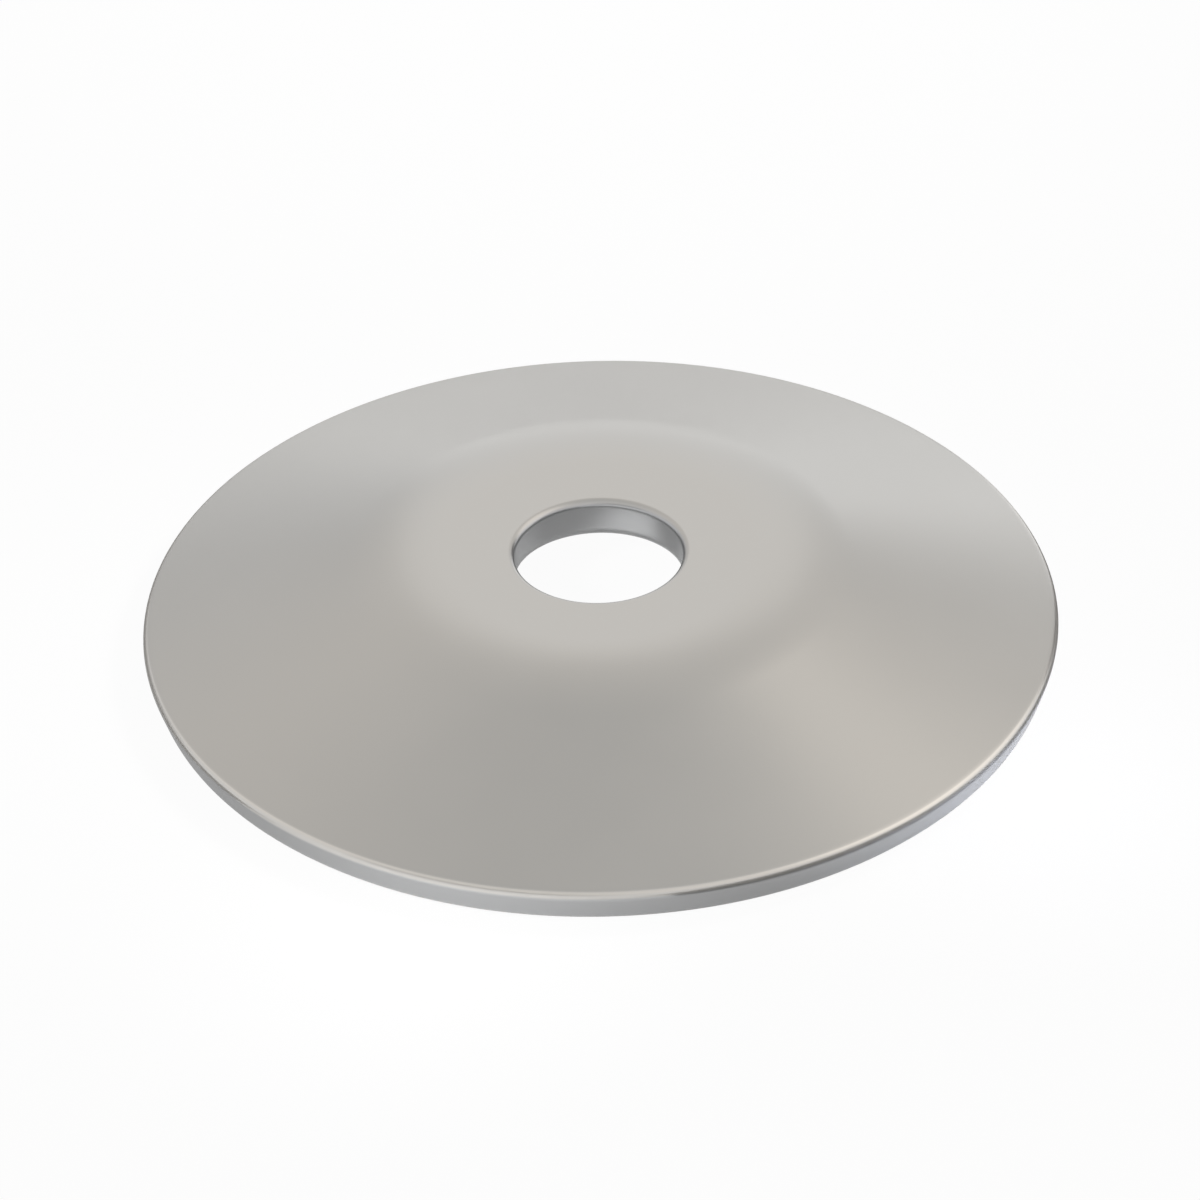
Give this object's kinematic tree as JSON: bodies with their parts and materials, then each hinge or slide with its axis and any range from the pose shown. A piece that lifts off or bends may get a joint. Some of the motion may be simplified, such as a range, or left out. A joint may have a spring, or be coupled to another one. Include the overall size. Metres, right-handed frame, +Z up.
{
  "type": "concave washer",
  "caption": "Round dished washer pressed from thick steel sheet: a flat seat round the bore, a smooth bend, a plain conical slope and a rim cut square to it.",
  "frame": {"origin": "on the axis of the bore, in the plane that the rim rests on, with the hollow side down", "axes": "+Z up along the axis of the bore, from the rim to the flat seat; X and Y are any pair square to it, as the part is round"},
  "size_m": [0.06, 0.06, 0.0088],
  "materials": {
    "steel": "satin"
  },
  "bodies": {
    "root": {"washer": "steel"}
  },
  "joints": []
}
